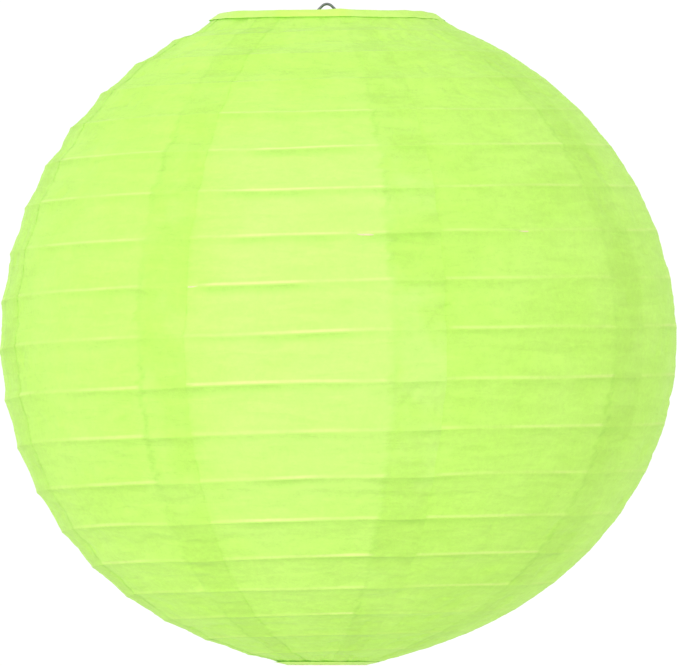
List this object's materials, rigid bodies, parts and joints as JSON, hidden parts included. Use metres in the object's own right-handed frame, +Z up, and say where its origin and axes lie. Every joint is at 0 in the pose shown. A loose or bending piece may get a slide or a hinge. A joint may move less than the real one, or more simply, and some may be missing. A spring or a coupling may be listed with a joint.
{
  "type": "round paper lantern",
  "caption": "Round hanging paper lantern: lapped paper gores on a spiral rib, open rim hoops top and bottom, and a bent wire expander with a hanging loop.",
  "frame": {"origin": "where a hook bears, under the top of the hanging loop", "axes": "+Z up along the lantern's axis, -Y the front, +X to the right along the plane of the expander's wire"},
  "size_m": [0.2988, 0.2988, 0.2938],
  "materials": {
    "paper": "matte, thin and translucent, dyed yellow green",
    "binding_paper": "matte, dyed yellow green",
    "bamboo": "split and scraped, unvarnished",
    "hoop_wire": "drawn, galvanised",
    "expander_wire": "drawn, galvanised, dull grey"
  },
  "bodies": {
    "expander": {"wire_expander": "expander_wire"},
    "shade_top": {"paper_gore_1": "paper", "paper_gore_2": "paper", "paper_gore_3": "paper", "paper_gore_4": "paper", "paper_gore_5": "paper", "paper_gore_6": "paper", "paper_gore_7": "paper", "paper_gore_8": "paper", "bamboo_rib": "bamboo", "top_rim_hoop": "hoop_wire", "top_rim_binding": "binding_paper"},
    "shade_bottom": {"bottom_rim_hoop": "hoop_wire", "bottom_rim_binding": "binding_paper"}
  },
  "joints": [
    {"name": "shade_slide_off", "type": "slide", "parent": "expander", "child": "shade_top", "axis": [0, 0, -1], "range_m": [0, 0.3]},
    {"name": "shade_collapse", "type": "slide", "parent": "shade_top", "child": "shade_bottom", "axis": [0, 0, 1], "range_m": [0, 0.262], "deforming": ["paper_gore_1", "paper_gore_2", "paper_gore_3", "paper_gore_4", "paper_gore_5", "paper_gore_6", "paper_gore_7", "paper_gore_8", "bamboo_rib"]}
  ]
}
